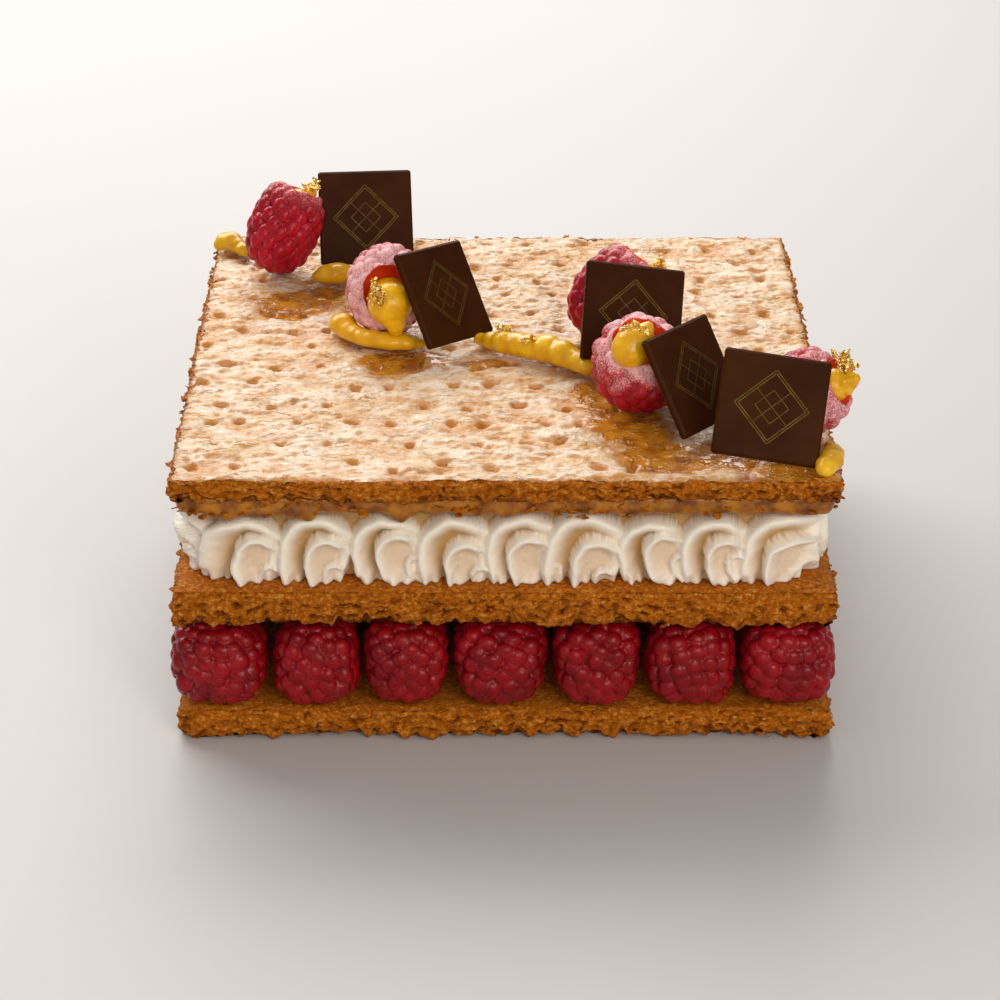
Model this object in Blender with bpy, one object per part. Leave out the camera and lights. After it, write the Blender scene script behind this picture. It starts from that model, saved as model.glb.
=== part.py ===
"""A square mille feuille: three sheets of puff pastry around a layer of raspberries and a layer of piped
whipped cream, with a spread of custard under the top sheet. A diagonal line of custard on top carries five
raspberries filled with custard and gold leaf, and five chocolate plaques that lean against them.

The origin is the centre of the underside, +X runs to the right along the front, +Y to the back, +Z up.
"""

import math
import random

import bmesh
import bpy
from mathutils import Euler, Matrix, Vector, noise

MM = 0.001

# Driving dimensions of the stack, from the bottom up.
SIDE = 150 * MM
GAP = 0.3 * MM
BOTTOM_SHEET = 7.8 * MM
BERRY_LAYER = 20.6 * MM
MIDDLE_SHEET = 9.4 * MM
CREAM_LAYER = 18.1 * MM
CUSTARD_LAYER = 2.9 * MM
TOP_SHEET = 5.8 * MM

HALF = SIDE / 2
BERRY_BASE = BOTTOM_SHEET + GAP
MIDDLE_BASE = BERRY_BASE + BERRY_LAYER + GAP
CREAM_BASE = MIDDLE_BASE + MIDDLE_SHEET + GAP
CUSTARD_BASE = CREAM_BASE + CREAM_LAYER + GAP
TOP_BASE = CUSTARD_BASE + CUSTARD_LAYER + GAP
STACK_TOP = TOP_BASE + TOP_SHEET

# Relief of the baked sheets: how far the cut flakes stand in and out, and how the top blisters.
FLAKE_DEPTH = 1.1 * MM
FLAKE_PITCH = 9 * MM
UNDERCUT = 3.0 * MM
LIFT = 1.6 * MM
PRICK_DEPTH = 1.1 * MM
BLISTER = 0.5 * MM

# Raspberries of the filling. The front row is (centre x, width); the other rows are drawn from the range.
FRONT_BERRIES = (
    (-65.6 * MM, 22.8 * MM),
    (-43.2 * MM, 20.4 * MM),
    (-22.5 * MM, 19.6 * MM),
    (-0.9 * MM, 22.2 * MM),
    (21.1 * MM, 20.6 * MM),
    (42.6 * MM, 21.2 * MM),
    (65.0 * MM, 22.4 * MM),
)
BERRY_WIDTHS = (19.4 * MM, 20.8 * MM)
BERRY_PITCH = 21.8 * MM
BERRY_DEPTH = 0.95
FRONT_PROUD = 3.0 * MM
SIDE_PROUD = 0.4 * MM
INNER_HALF = 52.5 * MM
INNER_SCALLOP = 2.2 * MM

# Whipped cream: a block with piped swirls all round. The front swirls are centre x; the others are even.
# Each swirl is an outer fold round a groove and a curl, and it runs out at the lower right. Its rings are
# (radius, how far it stands out), from the rim inside the block to the top of the curl.
FRONT_SWIRLS = tuple(x * MM for x in (-58.6, -42.4, -26.8, -11.2, 3.8, 18.4, 32.8, 47.4, 62.2))
SIDE_SWIRLS = 8
CREAM_HALF = 67.0 * MM
SWIRL_RINGS = (
    (8.5 * MM, -1.5 * MM),
    (8.9 * MM, 1.6 * MM),
    (7.3 * MM, 5.4 * MM),
    (5.0 * MM, 2.9 * MM),
    (3.3 * MM, 6.0 * MM),
    (0.0 * MM, 6.9 * MM),
)
SWIRL_POINTS = 9
SWIRL_WIDE = 0.94
RUN_OUT_ANGLE = -40
RUN_OUT = 0.65
CURL_SHIFT = Vector((1.3 * MM, -1.9 * MM))

# Raspberries on top: centre, the way the open end points, then half the width, height and length.
TOP_BERRIES = (
    (Vector((-55.8, 48.9, 78.3)) * MM, Vector((0.40, 0.30, 0.87)), Vector((9.2, 9.2, 12.0)) * MM),
    (Vector((-28.3, 8.3, 78.0)) * MM, Vector((0.03, -0.95, 0.31)), Vector((10.2, 11.3, 10.6)) * MM),
    (Vector((27.2, 3.4, 78.2)) * MM, Vector((0.62, 0.25, 0.74)), Vector((10.6, 10.6, 12.4)) * MM),
    (Vector((31.2, -35.7, 77.3)) * MM, Vector((-0.03, -0.52, 0.85)), Vector((11.3, 11.3, 10.0)) * MM),
    (Vector((67.6, -51.3, 76.8)) * MM, Vector((0.83, -0.28, 0.48)), Vector((10.0, 10.0, 10.2)) * MM),
)
# As shares of a raspberry: how square its open end is, and the hole's width, lip and depth.
SQUARENESS = 2.6
HOLE_WIDTH = 0.5
LIP = 0.85
HOLE_DEPTH = 0.6
HOLE_CLEARANCE = 1.1 * MM
DOLLOP_SIZES = (3.6 * MM, 5.0 * MM, 3.2 * MM, 5.0 * MM, 4.0 * MM)
LEAF_SIZE = Vector((1.5, 0.5, 1.3)) * MM
LEAF_PLACES = ((-0.2, 0.1), (0.25, -0.05))

# Chocolate plaques: centre, then turn about the vertical, lean back and twist in their own plane.
PLAQUE_SIDE = 24.0 * MM
PLAQUE_THICK = 2.0 * MM
PLAQUE_EDGE = 0.5 * MM
PLAQUES = (
    (Vector((-35.2, 56.6, 78.2)) * MM, 5.0, -27.2, 0.0),
    (Vector((-14.5, 1.4, 79.4)) * MM, 55.8, -33.0, 9.1),
    (Vector((30.6, -11.3, 79.4)) * MM, 12.4, -33.2, 11.3),
    (Vector((43.1, -45.0, 78.3)) * MM, 52.5, -32.1, 2.7),
    (Vector((59.1, -64.2, 79.1)) * MM, -0.2, -32.7, 8.6),
)

# Custard piped along the diagonal: points of each line as (x, y, half width).
RIBBONS = {
    "custard_back": ((-74.0, 62.6, 1.6), (-71.4, 63.2, 2.9), (-68.8, 60.2, 2.3), (-66.6, 57.6, 1.5)),
    "custard_left": ((-47.6, 40.8, 1.3), (-44.4, 39.8, 2.9), (-41.2, 40.0, 3.1), (-38.2, 42.6, 1.5)),
    "custard_middle": (
        (-39.8, 12.2, 1.6), (-39.4, 6.4, 3.1), (-35.0, 0.2, 2.5),
        (-29.2, -2.9, 2.7), (-23.6, -3.2, 2.4), (-19.6, -1.8, 1.2),
    ),
    "custard_strip": (
        (-5.2, -0.6, 1.8), (-0.6, -4.4, 3.1), (5.2, -7.4, 3.3),
        (10.6, -9.6, 3.6), (15.2, -14.6, 3.1), (18.6, -21.6, 2.0),
    ),
    "custard_corner": ((73.4, -59.8, 1.2), (73.9, -64.8, 1.9), (73.6, -70.0, 2.3), (71.6, -74.3, 2.1)),
}
RIBBON_HEIGHT = 0.8
RIBBON_STEPS = 9
TOPPING_BASE = STACK_TOP + BLISTER + GAP

PASTRY = ("baked_pastry", (0.60, 0.34, 0.11), 0.55, 0.0)
BERRY = ("raspberry", (0.55, 0.02, 0.04), 0.35, 0.0)
CREAM = ("whipped_cream", (0.90, 0.84, 0.70), 0.5, 0.0)
CUSTARD = ("custard", (0.86, 0.60, 0.07), 0.3, 0.0)
CHOCOLATE = ("dark_chocolate", (0.055, 0.018, 0.012), 0.35, 0.0)


def empty_scene():
    for obj in list(bpy.data.objects):
        bpy.data.objects.remove(obj, do_unlink=True)


def material(finish):
    name, colour, roughness, metallic = finish
    made = bpy.data.materials.get(name) or bpy.data.materials.new(name)
    made.use_nodes = True
    shader = made.node_tree.nodes["Principled BSDF"]
    shader.inputs["Base Color"].default_value = (*colour, 1.0)
    shader.inputs["Roughness"].default_value = roughness
    shader.inputs["Metallic"].default_value = metallic
    return made


def add_object(name, bm, finish, collection):
    mesh = bpy.data.meshes.new(name)
    bm.to_mesh(mesh)
    bm.free()
    mesh.materials.append(material(finish))
    obj = bpy.data.objects.new(name, mesh)
    collection.objects.link(obj)
    return obj


def ball(bm, centre, size, turn, segments, rings):
    """An ellipsoid whose poles lie along its own Z before turn is applied."""
    place = Matrix.Translation(centre) @ turn.to_4x4() @ Matrix.Diagonal((*size, 1.0))
    made = bmesh.ops.create_uvsphere(bm, u_segments=segments, v_segments=rings, radius=1, matrix=place)
    return made["verts"]


def fuse(name, pieces, finish, collection):
    """Joins overlapping pieces into one body with one Boolean union, and removes what it was made from."""
    body, others = pieces[0], pieces[1:]
    cluster = bpy.data.collections.new(name + "_pieces")
    bpy.context.scene.collection.children.link(cluster)
    for piece in others:
        collection.objects.unlink(piece)
        cluster.objects.link(piece)
    union = body.modifiers.new("join", "BOOLEAN")
    union.operation = "UNION"
    union.solver = "MANIFOLD"
    union.operand_type = "COLLECTION"
    union.collection = cluster
    bpy.context.view_layer.update()
    graph = bpy.context.evaluated_depsgraph_get()
    mesh = bpy.data.meshes.new_from_object(body.evaluated_get(graph))
    body.modifiers.clear()
    body.data = mesh
    body.name = mesh.name = name
    mesh.materials.clear()
    mesh.materials.append(material(finish))
    for piece in others:
        bpy.data.objects.remove(piece, do_unlink=True)
    bpy.data.collections.remove(cluster)
    return body


def outward(point, half):
    """The way a point on the wall of a square sheet faces, along X, Y or both at a corner."""
    edge = half * 0.999
    return Vector((
        math.copysign(1, point.x) if abs(point.x) > edge else 0,
        math.copysign(1, point.y) if abs(point.y) > edge else 0,
        0,
    ))


def slab(half, base, thickness, cells, rows, relief, plain_top=True):
    """A square slab: a grid on top, walls extruded down in rows, and a flat underside.

    relief(point, way, row) gives the shift of a wall point, where row 0 is the top rim.
    """
    bm = bmesh.new()
    bmesh.ops.create_grid(bm, x_segments=cells, y_segments=cells, size=half)
    bmesh.ops.translate(bm, verts=bm.verts, vec=(0, 0, base + thickness))
    if plain_top:
        bmesh.ops.dissolve_faces(bm, faces=bm.faces[:])
    rim = [edge for edge in bm.edges if edge.is_boundary]
    rings = [[vert for vert in bm.verts if vert.is_boundary]]
    for _ in range(rows):
        made = bmesh.ops.extrude_edge_only(bm, edges=rim)["geom"]
        rim = [part for part in made if isinstance(part, bmesh.types.BMEdge)]
        rings.append([part for part in made if isinstance(part, bmesh.types.BMVert)])
        bmesh.ops.translate(bm, verts=rings[-1], vec=(0, 0, -thickness / rows))
    bmesh.ops.contextual_create(bm, geom=rim)
    for row, ring in enumerate(rings):
        for vert in ring:
            vert.co += relief(vert.co.copy(), outward(vert.co, half), row)
    bmesh.ops.recalc_face_normals(bm, faces=bm.faces[:])
    return bm


def pastry_relief(seed, rows):
    """Torn flakes along the cut edge, as leaves that stand in and out. The lowest is drawn in."""

    def relief(point, way, row):
        place = Vector((point.x, point.y, seed * SIDE + row * 4 * FLAKE_PITCH)) / FLAKE_PITCH
        ledge = noise.noise(place) + 0.7 * noise.noise(place * 2.9)
        lift = LIFT * noise.noise(place * 1.9 + Vector((7, 3, 1)))
        if row == rows:
            return way * (FLAKE_DEPTH * ledge - UNDERCUT)
        if row == rows - 1:
            return way * FLAKE_DEPTH * (ledge - 0.3) + Vector((0, 0, 0.8 * lift - 0.5 * LIFT))
        if row == 0:
            return way * FLAKE_DEPTH * (ledge - 0.5) + Vector((0, 0, 0.6 * min(lift, 0) - 0.15 * LIFT))
        leaf = 0.3 if row % 2 else -0.4
        return way * FLAKE_DEPTH * (ledge + leaf) + Vector((0, 0, 0.4 * lift))

    return relief


def prick_and_blister(bm, cells):
    """Pricks every second grid point of the top and lets the rest blister."""
    level = STACK_TOP - 0.01 * MM
    cell = SIDE / cells
    for vert in bm.verts:
        if vert.co.z < level or outward(vert.co, HALF).length > 0:
            continue
        column = round((vert.co.x + HALF) / cell)
        row = round((vert.co.y + HALF) / cell)
        place = vert.co / (1.5 * cell)
        if column % 2 and row % 2:
            vert.co.z -= PRICK_DEPTH
            vert.co += 0.25 * cell * Vector((noise.noise(place), noise.noise(place + Vector((5, 9, 2))), 0))
        else:
            vert.co.z += BLISTER * noise.noise(place * 0.8)


def pastry_sheets(collection):
    cells = 26
    for seed, (name, base, thickness, rows) in enumerate((
        ("bottom_pastry", 0.0, BOTTOM_SHEET, 4),
        ("middle_pastry", MIDDLE_BASE, MIDDLE_SHEET, 4),
        ("top_pastry", TOP_BASE, TOP_SHEET, 3),
    )):
        is_top = name == "top_pastry"
        bm = slab(HALF, base, thickness, cells, rows, pastry_relief(seed + 1, rows), plain_top=not is_top)
        if is_top:
            prick_and_blister(bm, cells)
        add_object(name, bm, PASTRY, collection)


def custard_spread(collection):
    """The thin spread of custard under the top sheet, whose edge sags unevenly."""
    rows = 2

    def relief(point, way, row):
        place = Vector((point.x, point.y, row * FLAKE_PITCH)) / (1.6 * FLAKE_PITCH)
        inset = (1.6, 0.4, 1.2)[row] * MM
        return way * (0.9 * MM * noise.noise(place) - inset)

    bm = slab(HALF - 1 * MM, CUSTARD_BASE, CUSTARD_LAYER, 16, rows, relief)
    add_object("custard_layer", bm, CUSTARD, collection)


def knobbly_berry(segments, rings, bump, hollow=False):
    """A raspberry of radius 1: a ball whose every face is raised to a point, as one drupelet.

    With hollow, the faces round the upper pole stay flat, for the hole.
    """
    bm = bmesh.new()
    bmesh.ops.create_uvsphere(bm, u_segments=segments, v_segments=rings, radius=1)
    pole = max(bm.verts, key=lambda vert: vert.co.z)
    skin = [face for face in bm.faces if not (hollow and pole in face.verts)]
    tips = bmesh.ops.poke(bm, faces=skin)["verts"]
    for vert in tips:
        vert.co = vert.co.normalized()
    for vert in set(bm.verts) - set(tips):
        vert.co *= 1 - bump
    return bm


def filling_berry(name, inward, along, width, proud, draw, collection):
    """One raspberry of the filling, lying at random, whose outer side stands proud of the stack's side."""
    depth = width * BERRY_DEPTH
    bm = knobbly_berry(8, 5, 0.1)
    turn = Euler([draw.uniform(0, math.tau) for _ in range(3)]).to_matrix()
    bmesh.ops.rotate(bm, verts=bm.verts, matrix=turn)
    spans = [max(v.co[axis] for v in bm.verts) - min(v.co[axis] for v in bm.verts) for axis in range(3)]
    size = (width, depth, BERRY_LAYER) if inward.y else (depth, width, BERRY_LAYER)
    bmesh.ops.scale(bm, verts=bm.verts, vec=[wanted / span for wanted, span in zip(size, spans)])
    low = min(v.co.z for v in bm.verts)
    obj = add_object(name, bm, BERRY, collection)
    obj.location = along - inward * (HALF + proud - depth / 2) + Vector((0, 0, BERRY_BASE - low))


def berry_filling(collection):
    """Rows of raspberries on all four sides, and the inner ones as one scalloped block."""
    draw = random.Random(7)
    for number, (x, width) in enumerate(FRONT_BERRIES, 1):
        name = f"raspberry_front_{number}"
        filling_berry(name, Vector((0, 1, 0)), Vector((x, 0, 0)), width, FRONT_PROUD, draw, collection)
    for side, inward, along, count in (
        ("back", Vector((0, -1, 0)), Vector((1, 0, 0)), 7),
        ("left", Vector((1, 0, 0)), Vector((0, 1, 0)), 5),
        ("right", Vector((-1, 0, 0)), Vector((0, 1, 0)), 5),
    ):
        for number in range(1, count + 1):
            place = along * (number - (count + 1) / 2) * BERRY_PITCH
            width = draw.uniform(*BERRY_WIDTHS)
            filling_berry(f"raspberry_{side}_{number}", inward, place, width, SIDE_PROUD, draw, collection)

    berries_across = 5

    def scallops(point, way, row):
        along = point.x if way.y else point.y
        phase = (along / (2 * INNER_HALF) + 0.5) * berries_across
        depth = INNER_SCALLOP * (1 - abs(math.sin(math.pi * phase)))
        return way * -(depth + (0 if row == 1 else INNER_SCALLOP))

    bm = slab(INNER_HALF, BERRY_BASE, BERRY_LAYER, 10, 2, scallops)
    add_object("inner_raspberries", bm, BERRY, collection)


def tube(name, points, radii, finish, collection):
    """A six-sided tube with closed ends through the points, as a curve object."""
    curve = bpy.data.curves.new(name, "CURVE")
    curve.dimensions = "3D"
    curve.bevel_depth = 1
    curve.bevel_resolution = 1
    curve.use_fill_caps = True
    spline = curve.splines.new("POLY")
    spline.points.add(len(points) - 1)
    for point, place, radius in zip(spline.points, points, radii):
        point.co = (*place, 1)
        point.radius = radius
    curve.materials.append(material(finish))
    obj = bpy.data.objects.new(name, curve)
    collection.objects.link(obj)
    return obj


def cream_swirl(number, place, turn, collection):
    """One piped swirl, made from a circle that is extruded inwards ring by ring."""
    bm = bmesh.new()
    bmesh.ops.create_circle(bm, segments=SWIRL_POINTS, radius=1)
    outline = bm.edges[:]
    edges, rings = outline, [bm.verts[:]]
    for _ in SWIRL_RINGS[1:-1]:
        made = bmesh.ops.extrude_edge_only(bm, edges=edges)["geom"]
        edges = [part for part in made if isinstance(part, bmesh.types.BMEdge)]
        rings.append([part for part in made if isinstance(part, bmesh.types.BMVert)])
    tip = bmesh.ops.contextual_create(bm, geom=edges)["faces"]
    rings.append(bmesh.ops.poke(bm, faces=tip)["verts"])
    bmesh.ops.contextual_create(bm, geom=outline)
    for depth, (ring, (radius, out)) in enumerate(zip(rings, SWIRL_RINGS)):
        shift = CURL_SHIFT * max(0, depth - 1) / (len(rings) - 2)
        for vert in ring:
            angle = math.atan2(vert.co.y, vert.co.x)
            open_side = max(0, math.cos(angle - math.radians(RUN_OUT_ANGLE)))
            stand = out * (1 - RUN_OUT * open_side) if depth == 2 else out
            x = math.cos(angle) * radius * SWIRL_WIDE
            z = math.sin(angle) * radius
            vert.co = (x + shift.x, -stand, min(max(z + shift.y, -CREAM_LAYER / 2), CREAM_LAYER / 2))
    bmesh.ops.rotate(bm, verts=bm.verts, matrix=turn)
    bmesh.ops.translate(bm, verts=bm.verts, vec=place)
    bmesh.ops.recalc_face_normals(bm, faces=bm.faces[:])
    return add_object(f"swirl_{number}", bm, CREAM, collection)


def whipped_cream(collection):
    level = CREAM_BASE + CREAM_LAYER / 2
    block = bmesh.new()
    size = Matrix.Diagonal((2 * CREAM_HALF, 2 * CREAM_HALF, CREAM_LAYER, 1))
    bmesh.ops.create_cube(block, size=1, matrix=Matrix.Translation((0, 0, level)) @ size)
    pieces = [add_object("whipped_cream", block, CREAM, collection)]
    pitch = 2 * CREAM_HALF / SIDE_SWIRLS
    even = [(step + 0.5) * pitch - CREAM_HALF for step in range(SIDE_SWIRLS)]
    for quarter in range(4):
        turn = Matrix.Rotation(quarter * math.pi / 2, 3, "Z")
        for x in FRONT_SWIRLS if quarter == 0 else even:
            place = turn @ Vector((x, -CREAM_HALF, 0)) + Vector((0, 0, level))
            pieces.append(cream_swirl(len(pieces), place, turn, collection))
    return fuse("whipped_cream", pieces, CREAM, collection)


def standing(way):
    """The turn that points +Z along way."""
    return way.to_track_quat("Z", "Y").to_matrix()


def gold_flakes(name, places, draw, collection):
    """Crumpled scraps of gold leaf as small flattened scraps that sink into what they lie on."""
    flakes = []
    for number, place in enumerate(places):
        bm = bmesh.new()
        turn = Euler([draw.uniform(-0.9, 0.9) for _ in range(3)]).to_matrix().to_4x4()
        where = Matrix.Translation(place) @ turn @ Matrix.Diagonal((*LEAF_SIZE, 1))
        bmesh.ops.create_icosphere(bm, subdivisions=1, radius=1, matrix=where)
        flakes.append(add_object(f"{name}_leaf_{number}", bm, CUSTARD, collection))
    return flakes


def square_off(vert):
    """Widens the open half of a raspberry of radius 1 from a ball towards a thimble."""
    across = vert.co.xy.length
    if vert.co.z > 0 and across > 0:
        vert.co *= vert.co.length / (across ** SQUARENESS + vert.co.z ** SQUARENESS) ** (1 / SQUARENESS)


def hollow_berry(half):
    """A raspberry with a hole in its open end, whose lip the faces round the hole make."""
    bm = knobbly_berry(9, 7, 0.08, hollow=True)
    for vert in bm.verts:
        square_off(vert)
    pole = max(bm.verts, key=lambda vert: vert.co.z)
    for vert in [edge.other_vert(pole) for edge in pole.link_edges]:
        vert.co.xy = vert.co.xy.normalized() * HOLE_WIDTH
    pole.co.z = LIP - HOLE_DEPTH
    bmesh.ops.scale(bm, verts=bm.verts, vec=half)
    return bm


def dollop(size, half):
    """Custard that stands out of a raspberry's open end, and narrows to fit its hole below the lip."""
    lip = LIP * half.z
    depth = HOLE_DEPTH * half.z
    widest = HOLE_WIDTH * min(half.xy) - HOLE_CLEARANCE
    bm = bmesh.new()
    middle = Vector((0, 0, lip + 0.4 * size))
    for vert in ball(bm, middle, (size, size, size * 1.1), Matrix.Identity(3), 8, 6):
        sunk = lip + 0.5 * MM - vert.co.z
        if sunk > 0:
            reach = max(0.15, 1 - sunk / depth) * widest
            vert.co.xy = vert.co.xy.normalized() * min(reach, vert.co.xy.length)
    return bm


def top_berries(collection):
    """Raspberries with a custard dollop in the open end and gold leaf on it."""
    draw = random.Random(3)
    for number, ((centre, way, half), size) in enumerate(zip(TOP_BERRIES, DOLLOP_SIZES), 1):
        turn = standing(way)
        fruit = hollow_berry(half)
        bmesh.ops.rotate(fruit, verts=fruit.verts, matrix=turn)
        add_object(f"top_raspberry_{number}", fruit, BERRY, collection).location = centre

        custard = dollop(size, half)
        bmesh.ops.rotate(custard, verts=custard.verts, matrix=turn)
        bmesh.ops.translate(custard, verts=custard.verts, vec=centre)
        body = add_object(f"top_custard_{number}", custard, CUSTARD, collection)
        crown = centre + turn @ Vector((0, 0, LIP * half.z + 1.4 * size))
        places = [crown + turn @ Vector((x, 0, z)) * size for x, z in LEAF_PLACES]
        fuse(body.name, [body, *gold_flakes(body.name, places, draw, collection)], CUSTARD, collection)


def plaques(collection):
    """Thin chocolate squares with rounded edges, each leaning back against a raspberry."""
    for number, (centre, turn, lean, twist) in enumerate(PLAQUES, 1):
        bm = bmesh.new()
        size = Matrix.Diagonal((PLAQUE_SIDE, PLAQUE_THICK, PLAQUE_SIDE, 1))
        bmesh.ops.create_cube(bm, size=1, matrix=size)
        bmesh.ops.bevel(bm, geom=bm.edges[:], offset=PLAQUE_EDGE, segments=1, affect="EDGES")
        obj = add_object(f"plaque_{number}", bm, CHOCOLATE, collection)
        obj.rotation_mode = "QUATERNION"
        obj.rotation_quaternion = (
            Matrix.Rotation(math.radians(turn), 3, "Z")
            @ Matrix.Rotation(math.radians(lean), 3, "X")
            @ Matrix.Rotation(math.radians(twist), 3, "Y")
        ).to_quaternion()
        obj.location = centre


def smooth_route(points, steps):
    """Points along a smooth line through the given ones, evenly spread in each stretch."""
    def at(place):
        stretch = min(int(place), len(points) - 2)
        t = place - stretch
        a, b, c, d = (Vector(points[min(max(stretch + k, 0), len(points) - 1)]) for k in (-1, 0, 1, 2))
        bend = 2 * a - 5 * b + 4 * c - d
        return 0.5 * (2 * b + (c - a) * t + bend * t ** 2 + (3 * b - a - 3 * c + d) * t ** 3)

    return [at(step * (len(points) - 1) / (steps - 1)) for step in range(steps)]


def custard_ribbons(collection):
    """The custard piped on top, as ribbons that swell and thin, and lie on the crust all along."""
    for name, route in RIBBONS.items():
        line = [point * MM for point in smooth_route(route, RIBBON_STEPS)]
        radii = [point.z for point in line]
        obj = tube(name, line, radii, CUSTARD, collection)
        obj.scale.z = RIBBON_HEIGHT
        obj.location.z = TOPPING_BASE


def main():
    empty_scene()
    collection = bpy.data.collections.new("mille_feuille")
    bpy.context.scene.collection.children.link(collection)
    pastry_sheets(collection)
    berry_filling(collection)
    whipped_cream(collection)
    custard_spread(collection)
    top_berries(collection)
    plaques(collection)
    custard_ribbons(collection)


main()
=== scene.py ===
"""The looks of a square mille feuille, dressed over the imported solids: torn and blistered puff pastry,
raspberries, piped cream, custard, gold leaf and chocolate plaques.

Shapes are worked out in millimetres in the solids' own frame: the origin is the centre of the underside,
+X runs right along the front, +Y to the back and +Z up.
"""

import math
import random

import bmesh
import bpy
import numpy as np
from mathutils import Euler, Matrix, Vector, noise

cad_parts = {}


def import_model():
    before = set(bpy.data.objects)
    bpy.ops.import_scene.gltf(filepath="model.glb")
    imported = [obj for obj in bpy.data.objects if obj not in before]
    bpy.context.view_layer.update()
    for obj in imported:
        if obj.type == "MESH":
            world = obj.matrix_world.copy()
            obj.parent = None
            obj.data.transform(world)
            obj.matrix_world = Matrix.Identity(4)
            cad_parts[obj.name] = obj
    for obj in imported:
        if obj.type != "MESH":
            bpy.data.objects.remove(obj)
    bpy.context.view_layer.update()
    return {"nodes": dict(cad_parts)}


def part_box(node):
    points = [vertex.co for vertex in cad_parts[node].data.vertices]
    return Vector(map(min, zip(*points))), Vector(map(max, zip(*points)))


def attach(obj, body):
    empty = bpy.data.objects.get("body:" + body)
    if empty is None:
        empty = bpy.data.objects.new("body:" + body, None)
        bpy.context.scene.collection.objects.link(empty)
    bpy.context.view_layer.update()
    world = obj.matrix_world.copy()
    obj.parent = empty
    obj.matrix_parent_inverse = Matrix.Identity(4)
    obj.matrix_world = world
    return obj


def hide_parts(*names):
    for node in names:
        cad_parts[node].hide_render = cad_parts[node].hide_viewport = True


MM = 0.001

# Camera, from the photograph's perspective: place, then turn, downward pitch and roll in degrees.
CAMERA_PLACE = Vector((-6.27, -672.7, 354.4)) * MM
CAMERA_TURN = 0.48
CAMERA_PITCH = 26.11
CAMERA_ROLL = 0.28
LENS = 108.1
SENSOR = 36

# The stack: half the side, and the heights between which each layer lies.
HALF = 75.0
BOTTOM_SHEET = (0.0, 7.8)
MIDDLE_SHEET = (29.0, 38.4)
CREAM = (38.7, 56.8)
CUSTARD = (57.1, 60.0)
TOP_SHEET = (60.3, 66.1)

# Pastry: how finely the sheets are divided, the band of a covered sheet's top that keeps its detail, the
# prick holes' pitch and how far they stray from it, and how deep and high the top crust's relief goes.
TOP_GRID = 270
COVERED_GRID = 400
ROW = 0.42
SHOWN_BAND = 10.0
PRICK_PITCH = 11.2
PRICK_SHIFT = 2.4
LOWEST_DENT = -1.9
HIGHEST_BLISTER = 0.85

# Torn edges: how far long waves, parted leaves, crumbs, grit and pits push the wall in or out, how far its
# foot is torn up and down, and the chips that stick out of it.
WAVES = 0.7
LEAVES = 0.6
CRUMBS = 1.0
GRIT = 0.3
PITS = 0.8
ROUNDED_RIM = 0.9
TORN_FOOT = 1.7
CHIPS = 260
SMALLEST_CHIP = 0.5
LARGEST_CHIP = 1.3
CHIP_THICK = 0.16

# Pools of wet glaze on the top crust: centre x and y, half width, half depth.
POOLS = (
    (-50, 30, 14, 10),
    (-34, 22, 9, 7),
    (-23, -9, 10, 9),
    (-3, -10, 8, 3),
    (22, -30, 8, 8),
    (30, -46, 12, 14),
    (42, -62, 20, 9),
    (64, -71, 16, 6),
    (-62, 58, 8, 5),
)

# Cream: half the side and the corner of the path that it is piped along, how finely its wall is divided, and
# its swirls, along the front as on the solid and evenly spread along each other side.
CREAM_HALF = 67.0
CREAM_CORNER = 7.0
CREAM_COLUMNS = 1400
CREAM_ROWS = 42
FRONT_SWIRLS = (-57.8, -42.4, -26.8, -11.2, 3.8, 18.4, 32.8, 47.4, 62.2)
SIDE_SWIRLS = 8
# Each petal of a swirl: centre across and up, radius, height of its hollow and of its crest above that.
PETALS = (
    (0.0, -0.6, 8.6, 1.0, 4.6),
    (2.2, -1.8, 5.4, 2.8, 3.8),
    (6.0, -5.5, 2.7, 3.4, 1.8),
)
# How unevenly the petals lie, where they run out, the small lobes at the foot, and how far a swirl reaches.
PETAL_SHIFT = 1.4
RUN_OUT = math.radians(-20)
LOBE_PITCH = 3.1
LOBE_DEPTH = 2.0
SWIRL_REACH = 11.0
LEFT_FULLNESS = 1.3

# Custard under the top sheet: how far it lies behind the square's side, rises behind the crumb and sags,
# and how far behind the side, above and below the custard the crumbs that stick to it lie.
SPREAD_INSET = 1.6
SPREAD_COLUMNS = 900
SPREAD_ROWS = 9
SPREAD_RISE = 1.1
SPREAD_SAG = 3.3
STUCK_INSET = 1.1
STUCK_REACH = 1.6

# Raspberries: drupelets on each and how large they are, how they stand out of a ball of radius 1, how square
# the filling presses the fruit, and how many show along each side.
DRUPELETS = 100
DRUPELET = 0.23
BERRY_CORE = 0.83
DRUPELET_RISE = 0.78
BERRY_FULLNESS = 3.0
OUTER_BERRIES = (("front", 7), ("back", 7), ("left", 5), ("right", 5))

# Raspberries on top: centre, the way the open end points, half the width, height and length, how much
# icing sugar lies on it, and how many degrees that reaches from the open end.
TOP_BERRIES = (
    ((-55.8, 48.9, 78.3), (0.40, 0.30, 0.87), (9.2, 9.2, 12.0), 0.6, 60),
    ((-28.3, 8.3, 78.0), (0.03, -0.95, 0.31), (10.2, 11.3, 10.6), 1.0, 115),
    ((27.2, 3.4, 78.2), (0.62, 0.25, 0.74), (10.6, 10.6, 12.4), 0.7, 70),
    ((31.2, -35.7, 77.3), (-0.03, -0.52, 0.85), (11.3, 11.3, 10.0), 1.0, 80),
    ((67.6, -51.3, 76.8), (0.83, -0.28, 0.48), (10.0, 10.0, 10.2), 0.8, 95),
)
# As shares of a raspberry: how square its open and its closed end are, and its hole's lip, width and depth.
SQUARENESS = 2.6
BLUNTNESS = 2.35
LIP = 0.85
HOLE_WIDTH = 0.60
HOLE_DEPTH = 0.6
LIP_ANGLE = math.radians(38)

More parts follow.
